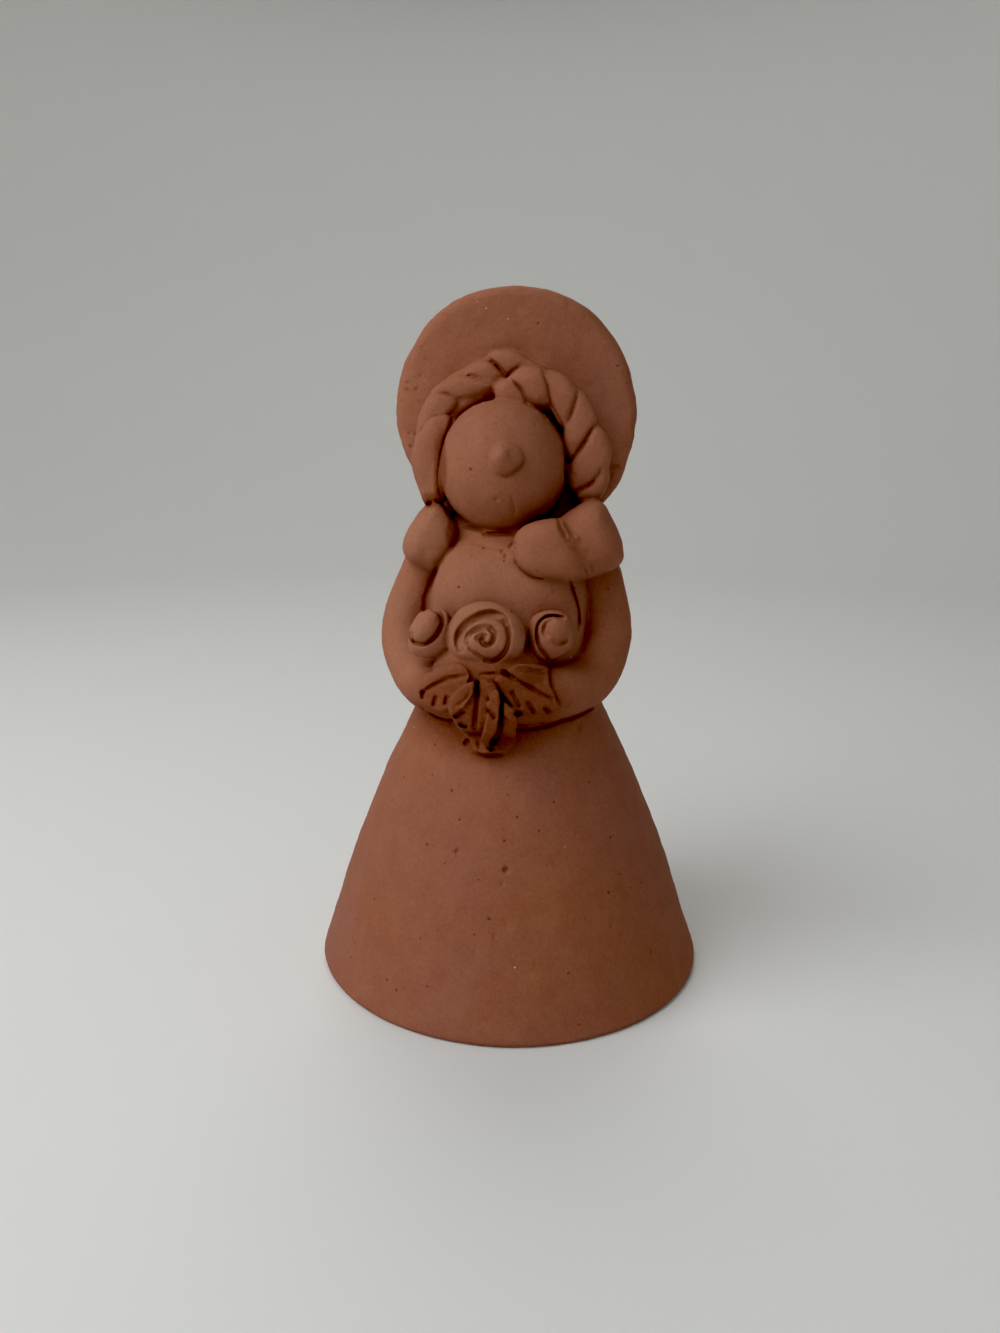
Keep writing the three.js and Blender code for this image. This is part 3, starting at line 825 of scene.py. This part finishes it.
class Nodes:
    """Short forms for building a material's nodes."""

    def __init__(self, name):
        self.material = bpy.data.materials.new(name)
        self.material.use_nodes = True
        self.tree = self.material.node_tree
        self.shader = self.tree.nodes["Principled BSDF"]

    def add(self, kind, inputs=None, **settings):
        node = self.tree.nodes.new(kind)
        for key, value in settings.items():
            setattr(node, key, value)
        for key, value in (inputs or {}).items():
            if isinstance(value, bpy.types.NodeSocket):
                self.tree.links.new(value, node.inputs[key])
            else:
                node.inputs[key].default_value = value
        return node

    def noise(self, where, size_mm, detail=2.0, roughness=0.5):
        """Noise whose lumps are about this big."""
        return self.add("ShaderNodeTexNoise", {"Vector": where, "Scale": 1 / (size_mm * MM), "Detail": detail,
                                               "Roughness": roughness}).outputs["Fac"]

    def ramp(self, value, low, high, to_low=0.0, to_high=1.0):
        return self.add("ShaderNodeMapRange", {"Value": value, "From Min": low, "From Max": high,
                                               "To Min": to_low, "To Max": to_high}).outputs["Result"]

    def math(self, operation, a, b=0.0):
        return self.add("ShaderNodeMath", {0: a, 1: b}, operation=operation).outputs[0]

    def mix(self, share, a, b, blend="MIX"):
        return self.add("ShaderNodeMix", {"Factor": share, "A": a, "B": b}, data_type="RGBA",
                        blend_type=blend).outputs["Result"]

    def attribute(self, name):
        return self.add("ShaderNodeAttribute", attribute_name=name).outputs["Fac"]


CLAY_RED = (0.290, 0.108, 0.070, 1)
CLAY_ORANGE = (0.300, 0.105, 0.056, 1)
# Painted light: the pale colour stands in for more light falling on the top and the lit patches
CLAY_PAINTED_LIGHT = (0.36, 0.150, 0.090, 1)
# Deep colour: darker grains and raw clay, and painted shade in crevices
CLAY_DEEP_AND_SHADE = (0.18, 0.045, 0.014, 1)
# Painted shade in the pores
CLAY_PORE_SHADE = (0.09, 0.026, 0.010, 1)
CLAY_SANDY = (0.43, 0.20, 0.12, 1)
# Mica specks, with a painted glint
MICA_AND_GLINT = (0.95, 0.85, 0.66, 1)

# Sizes in mm of what shows in the clay
BROAD_SIZE = 26
BLOTCH_SIZE = 4.5
GRAIN_SIZE = 0.55
DIMPLE_SIZE = 1.8
PORE_SPACING = 2.2
MICA_SPACING = 2.6
BUMP_HEIGHT = 0.36

# Heights in m between which painted light makes the clay paler
PAINTED_LIGHT_FROM = 0.045
PAINTED_LIGHT_TO = 0.075


def dots_between(n, where, spacing_mm, channel, rarity, largest, edge):
    """Round dots at random places: 1 inside. Only cells whose random value is above rarity have one."""
    cells = n.add("ShaderNodeTexVoronoi", {"Vector": where, "Scale": 1 / (spacing_mm * MM)})
    values = n.add("ShaderNodeSeparateColor", {"Color": cells.outputs["Color"]})
    radius = n.ramp(values.outputs[channel], rarity, 1.0, 0.0, largest)
    return n.ramp(n.math("SUBTRACT", cells.outputs["Distance"], radius), -edge, edge, 1.0, 0.0)


def clay_material():
    n = Nodes("terracotta")
    where = n.add("ShaderNodeTexCoord").outputs["Object"]
    broad = n.ramp(n.noise(where, BROAD_SIZE, 3), 0.35, 0.65)
    blotch = n.ramp(n.noise(where, BLOTCH_SIZE, 4, 0.6), 0.35, 0.65)
    grain = n.noise(where, GRAIN_SIZE, 4, 0.7)
    pore = dots_between(n, where, PORE_SPACING, 0, 0.55, 0.13, 0.03)
    speck = dots_between(n, where, MICA_SPACING, 1, 0.88, 0.05, 0.01)

    # Fired colour, red to orange; painted light paler on top and lit patches; raw clay and painted shade
    # darker
    colour = n.mix(broad, CLAY_RED, CLAY_ORANGE)
    height = n.add("ShaderNodeSeparateXYZ", {"Vector": where}).outputs["Z"]
    # Painted light: paler towards the top and on the lit patches of the front
    painted_light = n.math("ADD", n.ramp(height, PAINTED_LIGHT_FROM, PAINTED_LIGHT_TO, 0.0, 0.35),
                  n.math("MULTIPLY", n.attribute("painted_light_spots"), 0.65))
    colour = n.mix(painted_light, colour, CLAY_PAINTED_LIGHT)
    colour = n.mix(n.math("MULTIPLY", blotch, 0.16), colour, CLAY_SANDY)
    # Darker where the clay is raw, and painted shade under the arms, roses and braids
    colour = n.mix(n.ramp(n.attribute("raw_clay_and_shade"), 0, 1, 0, 0.75), colour, CLAY_DEEP_AND_SHADE)

    # Grains darker and lighter than the clay, painted shade in crevices and pores, and mica with a painted
    # glint
    colour = n.mix(n.ramp(grain, 0.25, 0.50, 0.35, 0.0), colour, CLAY_DEEP_AND_SHADE)
    colour = n.mix(n.ramp(grain, 0.50, 0.80, 0.0, 0.35), colour, CLAY_SANDY)
    # Painted shade: darker down in crevices, where the corner is less open
    colour = n.mix(n.ramp(n.attribute("openness"), 0.2, 0.8, 0.45, 0.0), colour, CLAY_DEEP_AND_SHADE)
    # Painted shade in the pores
    colour = n.mix(n.math("MULTIPLY", pore, 0.7), colour, CLAY_PORE_SHADE)
    # Pale mica specks, painted as bright glints
    colour = n.mix(n.math("MULTIPLY", speck, 0.8), colour, MICA_AND_GLINT)

    dimples = n.noise(where, DIMPLE_SIZE, 3)
    relief = n.math("ADD", n.math("MULTIPLY", grain, 0.5), n.math("MULTIPLY", dimples, 0.6))
    relief = n.math("SUBTRACT", relief, n.math("MULTIPLY", pore, 0.8))
    bump = n.add("ShaderNodeBump", {"Height": relief, "Strength": 0.55, "Distance": BUMP_HEIGHT * MM})
    links = n.tree.links
    links.new(colour, n.shader.inputs["Base Color"])
    links.new(bump.outputs["Normal"], n.shader.inputs["Normal"])
    links.new(n.ramp(grain, 0.3, 0.7, 0.74, 0.92), n.shader.inputs["Roughness"])
    n.shader.inputs["Specular IOR Level"].default_value = 0.35
    return n.material


# The studio, in metres and watts
LIGHTS = {
    "key": {"azimuth": 56, "up": 44, "distance": 0.62, "size": 0.5, "power": 2.35,
            "colour": (0.97, 0.985, 1.0)},
    "front": {"azimuth": 4, "up": 46, "distance": 1.0, "size": 0.5, "power": 1.1,
              "colour": (1.0, 0.97, 0.93)},
    "back": {"azimuth": 170, "up": 55, "distance": 1.0, "size": 0.6, "power": 2.2,
             "colour": (1.0, 0.95, 0.90)},
}
LIT_PLACE = (0.0, 0.0, 0.07)
WORLD_COLOUR = (0.80, 0.84, 0.86, 1)
WORLD_STRENGTH = 0.03
BLACK_LEVEL = (0.02, 0.02, 0.02)
FLOOR_COLOUR = (0.80, 0.81, 0.80, 1)
FLOOR_ROUGHNESS = 0.6
FLOOR_RADIUS = 0.60
FLOOR_RING = 0.05
SWEEP = 0.40
WALL_HEIGHT = 1.30
SWEEP_STEPS = 16
FLOOR_SIDES = 96


def floor_material():
    material = bpy.data.materials.new("floor")
    material.use_nodes = True
    shader = material.node_tree.nodes["Principled BSDF"]
    shader.inputs["Base Color"].default_value = FLOOR_COLOUR
    shader.inputs["Roughness"].default_value = FLOOR_ROUGHNESS
    return material


def add_floor():
    """A floor that sweeps up into a wall all round, so that every side has the same plain backdrop."""
    turn = np.linspace(0, np.pi / 2, SWEEP_STEPS)
    wall = FLOOR_RADIUS + SWEEP
    radii = np.concatenate([[FLOOR_RADIUS - FLOOR_RING], FLOOR_RADIUS + SWEEP * np.sin(turn), [wall]])
    heights = np.concatenate([[0.0], SWEEP * (1 - np.cos(turn)), [WALL_HEIGHT]])
    around = np.linspace(0, 2 * np.pi, FLOOR_SIDES, endpoint=False)
    corners = [(r * np.cos(a), r * np.sin(a), h) for r, h in zip(radii, heights) for a in around]
    faces = [tuple(range(FLOOR_SIDES))]
    for ring in range(len(radii) - 1):
        for i in range(FLOOR_SIDES):
            j = (i + 1) % FLOOR_SIDES
            low, high = ring * FLOOR_SIDES, (ring + 1) * FLOOR_SIDES
            faces.append((low + j, low + i, high + i, high + j))
    mesh = bpy.data.meshes.new("floor")
    mesh.from_pydata(corners, [], faces)
    mesh.polygons.foreach_set("use_smooth", [True] * len(faces))
    mesh.materials.append(floor_material())
    floor = bpy.data.objects.new("floor", mesh)
    bpy.context.scene.collection.objects.link(floor)


def add_area_light(name, azimuth, up, distance, size, power, colour):
    """A round soft light, placed by its angle round from the front to the left and its angle up."""
    data = bpy.data.lights.new(name, "AREA")
    data.shape = "DISK"
    data.size = size
    data.energy = power
    data.color = colour
    turn, rise = np.radians([azimuth, up])
    towards = Vector((-np.sin(turn) * np.cos(rise), -np.cos(turn) * np.cos(rise), np.sin(rise)))
    light = bpy.data.objects.new(name, data)
    light.location = Vector(LIT_PLACE) + towards * distance
    light.rotation_euler = (-towards).to_track_quat("-Z", "Y").to_euler()
    bpy.context.scene.collection.objects.link(light)


def set_contrast():
    """The photograph's contrast: its darkest tones fall to black."""
    view = bpy.context.scene.view_settings
    view.view_transform = "Standard"
    view.use_curve_mapping = True
    view.curve_mapping.black_level = BLACK_LEVEL
    view.curve_mapping.update()


def add_camera():
    data = bpy.data.cameras.new("camera")
    data.sensor_width = SENSOR_MM
    data.lens = FOCAL_PX / PHOTO_SIZE_PX[1] * SENSOR_MM
    data.clip_start = 0.01
    camera = bpy.data.objects.new("camera", data)
    axes = Matrix([VIEW.right, VIEW.up, -VIEW.ahead]).transposed()
    camera.matrix_world = Matrix.Translation(Vector(VIEW.place * MM)) @ axes.to_4x4()
    bpy.context.scene.collection.objects.link(camera)
    bpy.context.scene.camera = camera


def add_world():
    world = bpy.data.worlds.new("world")
    world.use_nodes = True
    background = world.node_tree.nodes["Background"]
    background.inputs["Color"].default_value = WORLD_COLOUR
    background.inputs["Strength"].default_value = WORLD_STRENGTH
    bpy.context.scene.world = world


add_camera()
add_world()
add_floor()
for name, light in LIGHTS.items():
    add_area_light(name, **light)
set_contrast()

clay = sculpt()
figurine = bpy.data.objects.new("figurine", mesh_from(clay))
bpy.context.scene.collection.objects.link(figurine)
make_uneven(figurine.data)
thinned(figurine)
mark_crevices(figurine.data, clay)
corners = corners_of(figurine.data)
# Raw clay, partly painted shade
add_attribute(figurine.data, "raw_clay_and_shade", nearness(corners, RAW_CLAY_AND_SHADE, RAW_AND_SHADE_SHARPNESS))
# Painted light on the lit patches of the front
add_attribute(figurine.data, "painted_light_spots", nearness(corners, PAINTED_LIGHT_SPOTS, PAINTED_LIGHT_SHARPNESS))
figurine.data.materials.append(clay_material())

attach(figurine, "root")
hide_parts(NODE)
